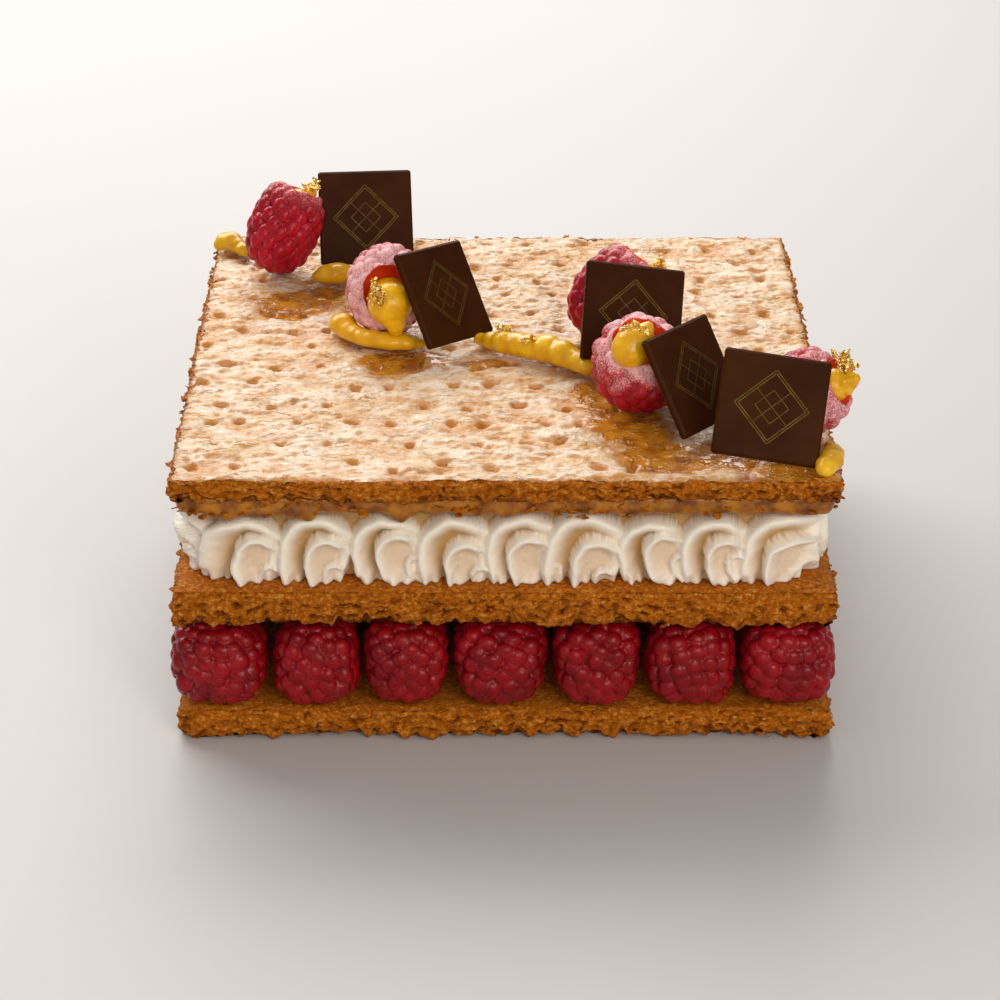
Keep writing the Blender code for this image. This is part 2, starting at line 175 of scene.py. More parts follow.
# Chocolate plaques: centre, then turn about the vertical, lean back and twist in their own plane.
PLAQUE_THICK = 2.0
PLAQUES = (
    ((-35.2, 56.6, 78.2), 5.0, -27.2, 0.0),
    ((-14.5, 1.4, 79.4), 55.8, -33.0, 9.1),
    ((30.6, -11.3, 79.4), 12.4, -33.2, 11.3),
    ((43.1, -45.0, 78.3), 52.5, -32.1, 2.7),
    ((59.1, -64.2, 79.1), -0.2, -32.7, 8.6),
)

# The lattice on a plaque: how far its double frame reaches, and how far apart its bars lie.
FRAMES = (8.4, 7.6)
BAR_PITCH = 3.8
FRAME_WIDTH = 0.28
BAR_WIDTH = 0.20
LINE_THICK = 0.10

# Custard piped on top: the heights of its middle and foot, how flat it lies, points of each line as
# (x, y, half width), and the steps from one point to the next.
RIBBON_BASE = 66.9
RIBBON_FLOOR = 66.6
RIBBON_HEIGHT = 0.8
RIBBONS = {
    "custard_back": ((-74.0, 62.6, 1.6), (-71.4, 63.2, 2.9), (-68.8, 60.2, 2.3), (-66.6, 57.6, 1.5)),
    "custard_left": ((-47.6, 40.8, 1.3), (-44.4, 39.8, 2.9), (-41.2, 40.0, 3.1), (-38.2, 42.6, 1.5)),
    "custard_middle": (
        (-39.8, 12.2, 1.6), (-39.4, 6.4, 3.1), (-35.0, 0.2, 2.5),
        (-29.2, -2.9, 2.7), (-23.6, -3.2, 2.4), (-19.6, -1.8, 1.2),
    ),
    "custard_strip": (
        (-5.2, -0.6, 1.9), (-0.6, -4.4, 3.1), (5.2, -7.6, 3.4),
        (10.6, -10.4, 3.8), (15.6, -14.2, 3.4), (20.0, -18.4, 2.6),
    ),
    "custard_corner": ((73.0, -59.8, 1.2), (73.2, -64.8, 2.1), (72.6, -69.8, 2.7), (70.6, -73.6, 2.3)),
}
RIBBON_STEPS = 9

# Gold leaf: the sizes of its scraps, their thickness, and the two specks on the custard strip.
SMALLEST_SCRAP = 0.6
LARGEST_SCRAP = 1.5
LEAF_THICK = 0.07
SPECKS = ((0.1, -3.8, 72.2), (6.2, -9.6, 72.0))

# Lights, in metres: place, height of the aim, width, height, watts and colour.
LIGHTS = {
    "window": ((-0.34, 0.80, 0.78), 0.05, 1.4, 0.7, 18.5, (1.0, 0.965, 0.93)),
    "spark": ((0.34, -0.85, 0.50), 0.04, 0.16, 0.16, 0.9, (1.0, 0.93, 0.88)),
    "front_fill": ((0.25, -0.95, 0.55), 0.04, 0.9, 0.6, 5.0, (1.0, 0.90, 0.78)),
}
SKY = (0.93, 0.95, 1.0)
SKY_STRENGTH = 0.36


def read_points(mesh):
    """The mesh's points in millimetres."""
    flat = np.empty(3 * len(mesh.vertices))
    mesh.vertices.foreach_get("co", flat)
    return flat.reshape(-1, 3) / MM


def write_points(mesh, points):
    mesh.vertices.foreach_set("co", (np.asarray(points) * MM).ravel())
    mesh.update()


def paint(mesh, name, values):
    """Stores a number for each point, which a material reads by name."""
    layer = mesh.attributes.get(name) or mesh.attributes.new(name, "FLOAT", "POINT")
    layer.data.foreach_set("value", np.asarray(values, dtype=np.float32))


def noise_at(points, pitch, seed=0, octaves=1):
    """Smooth noise from about -1 to 1. pitch is the size of its lumps, one number or one for each axis."""
    places = (points / np.array(pitch) + 13.7 * seed).tolist()
    if octaves == 1:
        return np.array([noise.noise(place) for place in places])
    return np.array([noise.fractal(place, 0.9, 2.1, octaves) for place in places])


def granules_at(points, pitch, seed=0):
    """Round grains packed together, from 0 in the seams to about 1 on top. pitch is their size."""
    places = (points / pitch + 5.3 * seed).tolist()
    nearest = np.array([noise.voronoi(place)[0][0] for place in places])
    return np.clip(1 - nearest, 0, 1)


def step(values, low, high):
    """0 below low, 1 above high, and a smooth rise between."""
    t = np.clip((values - low) / (high - low), 0, 1)
    return t * t * (3 - 2 * t)


def to_mesh(name, bm):
    mesh = bpy.data.meshes.new(name)
    bm.to_mesh(mesh)
    bm.free()
    return mesh


def to_object(name, data):
    obj = bpy.data.objects.new(name, data)
    bpy.context.scene.collection.objects.link(obj)
    return obj


def extrude_rows(bm, edges, rows, shift):
    """Extrudes a ring of edges the given number of times along Z and returns the last ring's edges."""
    for _ in range(rows):
        made = bmesh.ops.extrude_edge_only(bm, edges=edges)["geom"]
        edges = [part for part in made if isinstance(part, bmesh.types.BMEdge)]
        ring = [part for part in made if isinstance(part, bmesh.types.BMVert)]
        bmesh.ops.translate(bm, verts=ring, vec=(0, 0, shift))
    return edges


def thicken_sheets(bm, thickness):
    """Gives sheets drawn in millimetres a thickness, and brings them to metres."""
    bmesh.ops.solidify(bm, geom=bm.faces[:], thickness=thickness)
    bmesh.ops.scale(bm, verts=bm.verts, vec=(MM, MM, MM))
    bmesh.ops.recalc_face_normals(bm, faces=bm.faces[:])


def dress(name, mesh, material, nodes=(), smooth=True):
    """Makes the mesh a piece that rides on the object and stands for the named solids."""
    obj = to_object(name, mesh)
    for finish in material if isinstance(material, tuple) else (material,):
        mesh.materials.append(finish)
    if smooth:
        mesh.shade_smooth()
    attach(obj, "root")
    if nodes:
        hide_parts(*nodes)
    return obj


# Materials


def new_material(name):
    made = bpy.data.materials.new(name)
    made.use_nodes = True
    return made, made.node_tree, made.node_tree.nodes["Principled BSDF"]


def feed(socket, value):
    """Links a socket to another one, or gives it a plain number or colour."""
    if isinstance(value, bpy.types.NodeSocket):
        socket.id_data.links.new(value, socket)
    elif socket.type == "RGBA":
        socket.default_value = (*value, 1)
    else:
        socket.default_value = value


def set_inputs(node, **values):
    """Feeds a node's inputs by name, where spaces are written as underscores."""
    for key, value in values.items():
        feed(node.inputs[key.replace("_", " ")], value)


def add_node(tree, kind, **values):
    made = tree.nodes.new(kind)
    set_inputs(made, **values)
    return made


def add_noise(tree, scale, detail=3.0, stretch=(1, 1, 1), roughness=0.55):
    """A noise on the object's own coordinates, with lumps of about 1 / scale metres."""
    coordinates = tree.nodes.new("ShaderNodeTexCoord")
    mapping = add_node(tree, "ShaderNodeMapping", Vector=coordinates.outputs["Object"], Scale=stretch)
    made = add_node(tree, "ShaderNodeTexNoise", Scale=scale, Detail=detail, Roughness=roughness)
    set_inputs(made, Vector=mapping.outputs["Vector"])
    return made.outputs["Fac"]


def add_ramp(tree, value, stops):
    """Colours along a value, as (place, colour) stops."""
    ramp = tree.nodes.new("ShaderNodeValToRGB")
    ramp.color_ramp.elements[0].position, ramp.color_ramp.elements[0].color = stops[0][0], (*stops[0][1], 1)
    ramp.color_ramp.elements[1].position, ramp.color_ramp.elements[1].color = stops[-1][0], (*stops[-1][1], 1)
    for place, colour in stops[1:-1]:
        ramp.color_ramp.elements.new(place).color = (*colour, 1)
    set_inputs(ramp, Fac=value)
    return ramp.outputs["Color"]


def add_patches(tree, scale, detail, first, second):
    """Patches of two colours that run into each other."""
    return add_ramp(tree, add_noise(tree, scale, detail), ((0.35, first), (0.65, second)))


def add_painted(tree, name):
    made = tree.nodes.new("ShaderNodeAttribute")
    made.attribute_name = name
    return made.outputs["Fac"]


def add_mix(tree, amount, first, second, blend="MIX"):
    """Mixes two colours, each a socket or a plain colour, by a socket or a number."""
    made = tree.nodes.new("ShaderNodeMix")
    made.data_type = "RGBA"
    made.blend_type = blend
    for socket, value in ((0, amount), (6, first), (7, second)):
        feed(made.inputs[socket], value)
    return made.outputs[2]


def add_range(tree, value, low, high, new_low=0.0, new_high=1.0):
    made = tree.nodes.new("ShaderNodeMapRange")
    for socket, number in zip(made.inputs, (value, low, high, new_low, new_high)):
        feed(socket, number)
    return made.outputs[0]


def add_math(tree, operation, first, second):
    made = tree.nodes.new("ShaderNodeMath")
    made.operation = operation
    for socket, value in zip(made.inputs, (first, second)):
        feed(socket, value)
    return made.outputs[0]


def add_bump(tree, shader, height, depth):
    """Fine relief of the given depth in millimetres, too small for the mesh."""
    bump = add_node(tree, "ShaderNodeBump", Strength=1.0, Distance=depth * MM, Height=height)
    set_inputs(shader, Normal=bump.outputs["Normal"])


def crumb_colour(tree):
    """Golden crumbs with pale flecks, in streaks where the leaves part, and painted shade in the hollows."""
    grain = add_noise(tree, 900, 5, (1, 1, 1.3), 0.7)
    colour = add_ramp(tree, grain, (
        (0.30, (0.260, 0.046, 0.001)),
        (0.43, (0.560, 0.138, 0.003)),
        (0.55, (0.770, 0.230, 0.009)),
        (0.66, (0.970, 0.540, 0.130)),
    ))
    streaks = add_range(tree, add_noise(tree, 300, 3, (0.35, 0.35, 3.2)), 0.38, 0.62, 0.4, 0.0)
    colour = add_mix(tree, streaks, colour, (0.46, 0.130, 0.004))
    # Painted shade: the hollow number darkens the crumb in pits, dents and the lower wall.
    return add_mix(tree, add_painted(tree, "hollow"), colour, (0.150, 0.030, 0.001))


def crumb_finish():
    """The torn edge of every sheet, and the tops that the fillings cover."""
    made, tree, shader = new_material("baked_crumb")
    set_inputs(shader, Base_Color=crumb_colour(tree), Roughness=0.45, Specular_IOR_Level=0.12)
    add_bump(tree, shader, add_noise(tree, 1500, 4, (1, 1, 1.3), 0.7), 1.1)
    return made


def crust_finish():
    """The blistered top: pale and glossy on the flakes, where the pale colour is partly painted sheen,
    toasted and darkened with painted shade in the hollows and on slopes that face the front, amber in the wet
    glaze.

    Fine broken creases run from left to right and are darkened with painted shade, and the wet glaze has
    small beads that catch the light.
    """
    made, tree, shader = new_material("glazed_crust")
    # The pale end of these colours partly stands in for the glaze's shine: painted sheen.
    mottle = add_noise(tree, 150, 6, (0.5, 1.6, 1), 0.62)
    colour = add_ramp(tree, mottle, (
        (0.30, (0.56, 0.26, 0.065)),
        (0.41, (0.78, 0.50, 0.24)),
        (0.52, (0.86, 0.675, 0.475)),
        (0.66, (0.90, 0.755, 0.60)),
    ))
    middle = add_math(tree, "SUBTRACT", add_noise(tree, 130, 3, (0.36, 1.5, 1), 0.6), 0.5)
    crease = add_range(tree, add_math(tree, "ABSOLUTE", middle, 0.0), 0.0, 0.016, 0.6, 0.0)
    broken = add_range(tree, add_noise(tree, 240, 3), 0.42, 0.62, 0.08, 0.85)
    crease = add_math(tree, "MULTIPLY", crease, broken)
    # Painted shade in the creases.
    colour = add_mix(tree, crease, colour, (0.46, 0.165, 0.02))
    # Toasting and painted shade: browner in the prick holes, the dips, on slopes that face the front and
    # along the toasted rim.
    colour = add_mix(tree, add_painted(tree, "toast_and_shade"), colour, (0.60, 0.225, 0.012))
    wet = add_painted(tree, "wet")
    amber = add_patches(tree, 200, 3, (0.34, 0.095, 0.003), (0.66, 0.27, 0.020))
    colour = add_mix(tree, wet, colour, amber)
    rough = add_range(tree, add_noise(tree, 380, 3), 0.35, 0.7, 0.14, 0.36)
    rough = add_math(tree, "MULTIPLY", rough, add_range(tree, wet, 0, 1, 1.0, 0.45))
    set_inputs(shader, Base_Color=colour, Roughness=rough, Specular_IOR_Level=0.42)
    beads = add_range(tree, add_noise(tree, 330, 3), 0.50, 0.72, 0.0, 1.0)
    relief = add_math(tree, "SUBTRACT", add_noise(tree, 700, 5, (0.7, 1.3, 1), 0.62), crease)
    relief = add_math(tree, "MULTIPLY", relief, add_range(tree, wet, 0, 1, 1.0, 0.12))
    relief = add_math(tree, "ADD", relief, add_math(tree, "MULTIPLY", beads, wet))
    add_bump(tree, shader, relief, 0.65)
    return made


def berry_finish(name, deep, bright, seam, sugar_amount):
    """Moist drupelets, deep red and brighter in patches, with painted shade in their fine seams, a painted
    highlight just inside each seam and a dusting of sugar.
    """
    made, tree, shader = new_material(name)
    patches = add_range(tree, add_noise(tree, 140, 2), 0.35, 0.65)
    colour = add_mix(tree, patches, deep, bright)
    from_seam = add_painted(tree, "seam")
    # Painted shade: the seams between the drupelets are darkened towards the seam colour.
    colour = add_mix(tree, add_math(tree, "MULTIPLY", from_seam, 0.5), colour, seam)
    # Painted highlight: a pale rim just inside each seam.
    rim_highlight = add_ramp(tree, from_seam, ((0.10, (0, 0, 0)), (0.35, (0.2, 0.2, 0.2)), (0.65, (0, 0, 0))))
    colour = add_mix(tree, rim_highlight, colour, (0.60, 0.09, 0.10))
    colour = add_mix(tree, add_painted(tree, "inside"), colour, (0.92, 0.09, 0.015))
    amount = add_math(tree, "MULTIPLY", add_painted(tree, "sugar"), sugar_amount)
    grains = add_noise(tree, 2400, 4, roughness=0.75)
    heaped = add_math(tree, "ADD", grains, add_range(tree, amount, 0, 1, 0, 0.31))
    dust = add_range(tree, heaped, 0.66, 0.84, 0.0, 0.9)
    colour = add_mix(tree, add_math(tree, "MULTIPLY", amount, 0.42), colour, (0.82, 0.20, 0.22))
    colour = add_mix(tree, dust, colour, (0.90, 0.60, 0.60))
    rough = add_range(tree, dust, 0, 1, 0.16, 0.8)
    set_inputs(shader, Base_Color=colour, Roughness=rough, Specular_IOR_Level=0.24)
    set_inputs(shader, Subsurface_Weight=0.3, Subsurface_Radius=(1.0, 0.03, 0.03), Subsurface_Scale=1.8 * MM)
    set_inputs(shader, Sheen_Weight=0.04, Sheen_Roughness=0.2, Sheen_Tint=(1.0, 0.55, 0.60))
    add_bump(tree, shader, add_noise(tree, 1800, 2), 0.12)
    return made


def cream_finish():
    made, tree, shader = new_material("whipped_cream")
    # Painted shade: the cream turns beige in its grooves, in its petals' hollows and in the bare gaps between
    # swirls.
    colour = add_mix(tree, add_painted(tree, "groove_shade"), (0.96, 0.875, 0.755), (0.56, 0.335, 0.110))
    set_inputs(shader, Base_Color=colour, Roughness=0.42)
    set_inputs(shader, Subsurface_Weight=0.5, Subsurface_Radius=(1.0, 0.8, 0.55), Subsurface_Scale=1.6 * MM)
    add_bump(tree, shader, add_noise(tree, 1300, 3, roughness=0.7), 0.22)
    return made


def custard_finish(name, thin, thick):
    made, tree, shader = new_material(name)
    # For the spread under the top sheet, both tones are custard darkened with painted shade.
    colour = add_mix(tree, add_range(tree, add_noise(tree, 260, 2), 0.35, 0.65), thin, thick)
    set_inputs(shader, Base_Color=colour, Roughness=0.24, Specular_IOR_Level=0.3)
    set_inputs(shader, Coat_Weight=0.2, Coat_Roughness=0.12)
    set_inputs(shader, Subsurface_Weight=0.3, Subsurface_Radius=(1.0, 0.55, 0.08), Subsurface_Scale=1.5 * MM)
    add_bump(tree, shader, add_noise(tree, 700, 2), 0.15)
    return made


def gold_finish():
    made, tree, shader = new_material("gold_leaf")
    shade = add_patches(tree, 900, 2, (0.90, 0.56, 0.11), (1.0, 0.84, 0.36))
    set_inputs(shader, Base_Color=shade, Metallic=1.0, Roughness=0.26)
    add_bump(tree, shader, add_noise(tree, 2200, 2), 0.3)
    return made


def chocolate_finish():
    made, tree, shader = new_material("dark_chocolate")
    shade = add_patches(tree, 90, 3, (0.038, 0.010, 0.001), (0.056, 0.015, 0.002))
    rough = add_range(tree, add_noise(tree, 260, 3), 0.3, 0.7, 0.34, 0.46)
    set_inputs(shader, Base_Color=shade, Roughness=rough, Specular_IOR_Level=0.04)
    set_inputs(shader, Subsurface_Weight=0.05, Subsurface_Radius=(1.0, 0.3, 0.15), Subsurface_Scale=1.0 * MM)
    add_bump(tree, shader, add_noise(tree, 420, 3), 0.06)
    return made


def printed_gold_finish():
    made, tree, shader = new_material("printed_gold")
    shade = add_patches(tree, 500, 2, (0.075, 0.040, 0.003), (0.13, 0.075, 0.007))
    set_inputs(shader, Base_Color=shade, Metallic=0.35, Roughness=0.5, Specular_IOR_Level=0.2)
    return made


# Pastry


def pastry_block(name, heights, grid, plain_inside):
    """A square block: a fine grid on top, walls extruded down from its rim, and a flat underside.

    plain_inside leaves the part of the top that the filling covers as one flat face.
    """
    low, high = heights
    rows = round((high - low) / ROW)
    bm = bmesh.new()
    bmesh.ops.create_grid(bm, x_segments=grid, y_segments=grid, size=HALF * MM)
    bmesh.ops.translate(bm, verts=bm.verts, vec=(0, 0, high * MM))
    if plain_inside:
        limit = (HALF - SHOWN_BAND) * MM
        covered = [f for f in bm.faces if max(abs(x) for x in f.calc_center_median().xy) < limit]
        bmesh.ops.delete(bm, geom=covered, context="FACES")
        near = limit + 1 * MM
        inner = [e for e in bm.edges if e.is_boundary and max(abs(x) for x in e.verts[0].co.xy) < near]
        bmesh.ops.contextual_create(bm, geom=inner)
    rim = [edge for edge in bm.edges if edge.is_boundary]
    rim = extrude_rows(bm, rim, rows, -(high - low) / rows * MM)
    bmesh.ops.contextual_create(bm, geom=rim)
    bmesh.ops.recalc_face_normals(bm, faces=bm.faces[:])
    return to_mesh(name, bm)


def torn_edge(points, heights, seed, undercut=3.0):
    """Pushes the wall in and out as torn leaves and crumbs.

    Returns the new points, how much painted shade each gets from lying hollow, and which of them are wall.
    """
    low, high = heights
    edge = HALF - 0.01
    way = np.where(np.abs(points[:, :2]) > edge, np.sign(points[:, :2]), 0.0)
    wall = np.abs(way).max(axis=1) > 0
    place = points[wall]
    down = (high - place[:, 2]) / (high - low)
    waves = noise_at(place, (14, 14, 40), seed)
    leaves = noise_at(place, (7, 7, 1.1), seed + 1, 2)
    crumbs = granules_at(place, 1.55, seed + 2)
    fine = noise_at(place, 0.9, seed + 5, 2)
    pits = step(noise_at(place, (2.4, 2.4, 1.3), seed + 3, 2), 0.16, 0.42)
    out = WAVES * waves + LEAVES * leaves + CRUMBS * (crumbs - 0.5) + GRIT * fine - PITS * pits
    out -= ROUNDED_RIM * step(down, 0.25, 0.0) ** 2
    out -= undercut * step(down, 0.86, 1.0)
    ragged = noise_at(place, (3.6, 3.6, 60), seed + 4, 2) + 0.3 * waves
    ragged += 0.5 * noise_at(place, (1.6, 1.6, 60), seed + 6)
    drop = TORN_FOOT * (ragged - 0.2) * step(down, 0.25, 0.85) * (1 - step(down, 0.93, 1.0))
    moved = points.copy()
    moved[wall, :2] += way[wall] * out[:, None]
    moved[wall, 2] -= drop
    moved[wall, 2] = np.clip(moved[wall, 2], low, high + 0.3)
    hollow = np.zeros(len(points))
    # Painted shade for the crumb's colour: darker in pits, dents and between crumbs, lighter near the top of
    # the wall, darker towards the foot.
    shaded = 0.55 * pits + 0.4 * step(-out, 0.4, 1.6) + 0.45 * step(0.35 - crumbs, 0.0, 0.3)
    hollow[wall] = np.clip(shaded - 0.4 * (1 - step(down, 0.1, 0.45)) + 0.25 * step(down, 0.6, 0.9), 0, 1)
    return moved, hollow, wall


def add_chips(mesh, heights, seed, material_index, inset=0.0):
    """Adds thin chips that stick out of a torn edge, which lies the inset behind the square's side."""
    low, high = heights
    draw = random.Random(seed)
    bm = bmesh.new()
    for number in range(CHIPS):
        size = draw.uniform(SMALLEST_CHIP, LARGEST_CHIP)
        chip = bmesh.ops.create_grid(bm, x_segments=3, y_segments=3, size=size)["verts"]
        for vert in chip:
            place = vert.co * 0.8 + Vector((0, 0, 4.0 * number + seed))
            u, v = vert.co.x / size, vert.co.y / size
            vert.co.x *= math.sqrt(1 - v * v / 2) * (1.1 + 0.5 * noise.noise(place))
            vert.co.y *= math.sqrt(1 - u * u / 2) * (0.8 + 0.5 * noise.noise(place * 1.7))
            vert.co.z += 0.5 * size * noise.noise(place * 1.3 + Vector((2, 5, 1)))
        tilt = Euler((draw.gauss(0, 0.45), draw.gauss(0, 0.25), draw.uniform(-0.6, 0.6))).to_matrix().to_4x4()
        side = Matrix.Rotation(draw.randrange(4) * math.pi / 2, 4, "Z")
        along, level = draw.uniform(1 - HALF, HALF - 1), draw.uniform(low + 1.2, high - 0.2)
        place = Matrix.Translation((along, inset - HALF - draw.uniform(-0.7, 0.35), level))
        bmesh.ops.transform(bm, verts=chip, matrix=side @ place @ tilt)
    thicken_sheets(bm, CHIP_THICK)
    for face in bm.faces:
        face.material_index = material_index
    chips = to_mesh("chips", bm)
    bm = bmesh.new()
    bm.from_mesh(mesh)
    bm.from_mesh(chips)
    bm.to_mesh(mesh)
    bm.free()
    bpy.data.meshes.remove(chips)


def prick_holes():
    """The holes pricked before baking: x, y, radius, and how much and which way each is drawn out."""
    draw = random.Random(11)
    count = int(2 * HALF / PRICK_PITCH)
    holes = []
    for row in range(count):
        for column in range(count):
            x = (column - (count - 1) / 2 + (0.25 if row % 2 else -0.25)) * PRICK_PITCH
            y = (row - (count - 1) / 2) * PRICK_PITCH
            place = (x + draw.uniform(-1, 1) * PRICK_SHIFT, y + draw.uniform(-1, 1) * PRICK_SHIFT)
            size = draw.uniform(0.85, 1.5)
            if draw.random() > 0.08:
                holes.append((*place, size, draw.uniform(1.0, 1.6), draw.uniform(0, math.pi)))
    return holes


def wet_glaze(points):
    """Where the glaze lies wet: in pools along the front of the diagonal that the toppings follow."""
    near = np.zeros(len(points))
    for x, y, wide, deep in POOLS:
        reach = ((points[:, 0] - x) / wide) ** 2 + ((points[:, 1] - y) / deep) ** 2
        near = np.maximum(near, np.exp(-0.7 * reach))
    return step(near + 0.36 * noise_at(points, (13, 9, 13), 21, 3), 0.42, 0.66)


def blistered_top(points, wall):
    """Relief of the top crust in millimetres, with the toasted places and those darkened with painted shade,
    and the wet places.
    """
    flat = points.copy()
    flat[:, 2] = 0
    lumps = noise_at(flat, (8.5, 7.0, 1), 31, 2)
    wrinkles = noise_at(flat, (7.0, 2.6, 1), 32, 3)
    fine = noise_at(flat, (2.2, 1.2, 1), 33, 2)
    leaf = 2.6 * (noise_at(flat, (15, 9, 1), 34, 3) + 0.5 * wrinkles)
    torn = step(leaf - np.floor(leaf), 0.0, 0.16) * (1 - (leaf - np.floor(leaf)))
    height = 0.60 * lumps + 0.50 * (0.5 - np.abs(wrinkles) * 1.6) + 0.18 * fine + 0.50 * (torn - 0.5)
    hole = np.zeros(len(points))
    dent = np.zeros(len(points))
    for x, y, radius, stretch, angle in prick_holes():
        dx, dy = flat[:, 0] - x, flat[:, 1] - y
        along = (dx * math.cos(angle) + dy * math.sin(angle)) / stretch
        across = -dx * math.sin(angle) + dy * math.cos(angle)
        distance = np.sqrt(along ** 2 + across ** 2)
        hole = np.maximum(hole, 1 - step(distance, 0.45 * radius, 1.25 * radius))
        dent = np.maximum(dent, np.exp(-(distance / 2.9) ** 2))
    wet = wet_glaze(flat)
    height = height * (1 - 0.6 * wet) - 0.35 * dent - 1.25 * hole - 0.12 * wet
    from_rim = HALF - np.abs(flat[:, :2]).max(axis=1)
    height -= 0.5 * (1 - step(from_rim, 0.0, 2.5))
    height = np.clip(height, LOWEST_DENT, HIGHEST_BLISTER)
    # Browner in the prick holes and round them, partly toasting and partly painted shade, and painted shade
    # in the dips between the lumps.
    toast_and_shade = np.clip(0.95 * hole + 0.30 * dent + 0.5 * step(-lumps - 0.5 * wrinkles, 0.12, 0.5), 0, 1)
    ragged = from_rim - 2.4 * noise_at(flat, (5, 5, 1), 36, 2)
    toast_and_shade = np.maximum(toast_and_shade, 0.85 * (1 - step(ragged, 0.3, 2.3)))
    return np.where(wall, 0, height), toast_and_shade, wet


def torn_faces(mesh, wall):
    """Gives the faces between wall points the second material."""
    starts = np.empty(len(mesh.polygons), dtype=np.int32)
    corners = np.empty(len(mesh.loops), dtype=np.int32)
    mesh.polygons.foreach_get("loop_start", starts)
    mesh.loops.foreach_get("vertex_index", corners)
    torn = np.minimum.reduceat(wall[corners].astype(np.int32), starts)
    mesh.polygons.foreach_set("material_index", torn)


def pastry_sheets(crumb, crust):
    covered = (("bottom_pastry", BOTTOM_SHEET), ("middle_pastry", MIDDLE_SHEET))
    for seed, (node, heights) in enumerate(covered):
        mesh = pastry_block(node, heights, COVERED_GRID, plain_inside=True)
        points = read_points(mesh)
        moved, hollow, wall = torn_edge(points, heights, 40 + 10 * seed)
        top = points[:, 2] > heights[1] - 0.01
        inside = HALF - np.abs(points[:, :2]).max(axis=1)
        rough = 0.35 * noise_at(points, (3, 3, 1), 60 + seed, 3) - 0.5 * (1 - step(inside, 0, 2))
        rough *= step(inside, SHOWN_BAND - 1, SHOWN_BAND - 5)
        moved[top, 2] += np.minimum(rough[top], 0.12)
        write_points(mesh, moved)
        # The hollow number is painted shade for the crumb's colour.
        paint(mesh, "hollow", hollow)
        add_chips(mesh, heights, 90 + seed, 0)
        dress(node + "_baked", mesh, crumb, (node,))

    mesh = pastry_block("top_pastry", TOP_SHEET, TOP_GRID, plain_inside=False)
    points = read_points(mesh)
    moved, hollow, wall = torn_edge(points, TOP_SHEET, 80, 1.4)
    on_top = points[:, 2] > TOP_SHEET[1] - 0.01
    height, toast_and_shade, wet = blistered_top(points, ~on_top)
    moved[:, 2] += height
    write_points(mesh, moved)
    facing = np.empty(3 * len(points))
    mesh.vertex_normals.foreach_get("vector", facing)
    # Painted shade: slopes that face the front are painted browner.
    toast_and_shade = np.maximum(toast_and_shade, 0.8 * step(-facing[1::3], 0.12, 0.45) * (1 - wet))
    # The hollow number is painted shade for the crumb's colour.
    paint(mesh, "hollow", hollow)
    paint(mesh, "toast_and_shade", np.where(on_top, toast_and_shade, 0))
    paint(mesh, "wet", np.where(on_top, wet, 0))
    torn_faces(mesh, wall)
    add_chips(mesh, TOP_SHEET, 92, 1)
    dress("top_pastry_baked", mesh, (crust, crumb), ("top_pastry",))


# Raspberries


def drupelet_places(draw):
    """Where the drupelets sit on a ball of radius 1, in rows that wind from one end to the other."""
    number = np.arange(DRUPELETS)
    level = 1 - 2 * (number + 0.5) / DRUPELETS
    turn = number * math.pi * (3 - math.sqrt(5)) + draw.normal(0, 0.05, DRUPELETS)
    flat = np.sqrt(1 - level ** 2)
    centres = np.stack([flat * np.cos(turn), flat * np.sin(turn), level], axis=1)
    centres += draw.normal(0, 0.022, centres.shape)
    return centres / np.linalg.norm(centres, axis=1)[:, None]


def turn_in(points, ways, polar, inside, seam):
    """Turns the open end in as a deep hole with a rounded lip, and marks what lies inside it."""
    inner = polar < LIP_ANGLE
    t = polar[inner] / LIP_ANGLE
    around = ways[inner, :2] / np.maximum(np.linalg.norm(ways[inner, :2], axis=1), 1e-9)[:, None]
    wall = np.column_stack([
        around * (HOLE_WIDTH * np.minimum(1, np.sqrt(t / 0.8)))[:, None],
        LIP + 0.02 - HOLE_DEPTH * (1 - np.minimum(1, t / 0.8) ** 2),
    ])
    lip = step(t, 0.68, 1.0)[:, None]
    points[inner] = points[inner] * lip + wall * (1 - lip)
    inside[inner] = 1 - step(t, 0.70, 0.95)
    seam[inner] *= step(t, 0.6, 1.0)


def berry_mesh(name, detail, seed, hollow, reach=90):
    """A ball of radius 1 covered in drupelets, each the top of a small ball.

    The sugar lies within reach degrees of its top, which hollow turns in.
    """
    bm = bmesh.new()
    bmesh.ops.create_icosphere(bm, subdivisions=detail, radius=1)
    mesh = to_mesh(name, bm)
    ways = read_points(mesh) * MM
    ways /= np.linalg.norm(ways, axis=1)[:, None]
    draw = np.random.default_rng(seed)
    centres = drupelet_places(draw)
    sizes = DRUPELET * draw.normal(1, 0.055, DRUPELETS)
    apart = np.arccos(np.clip(ways @ centres.T, -1, 1))
    heights = np.sqrt(np.maximum(sizes ** 2 - apart ** 2, 0))
    ranked = np.partition(heights, -2, axis=1)
    first, second = ranked[:, -1], ranked[:, -2]
    radius = BERRY_CORE + DRUPELET_RISE * first
    points = ways * (radius / (BERRY_CORE + 0.93 * DRUPELET_RISE * DRUPELET))[:, None]
    # Closeness to the seams between drupelets, which the finish turns into painted shade and a painted
    # highlight.
    seam = 1 - step(first - second, 0.012, 0.05)
    polar = np.arccos(np.clip(ways[:, 2], -1, 1))
    inside = np.zeros(len(ways))
    if hollow:
        points = square_off(points)
        turn_in(points, ways, polar, inside, seam)
    write_points(mesh, points / MM)
    paint(mesh, "seam", seam)
    paint(mesh, "inside", inside)
    patchy = 0.55 * noise_at(ways, 0.42, seed, 3)
    paint(mesh, "sugar", (1 - step(polar / math.radians(reach) + 0.35 * patchy, 0.45, 1.1)) * (1 - inside))
    return mesh


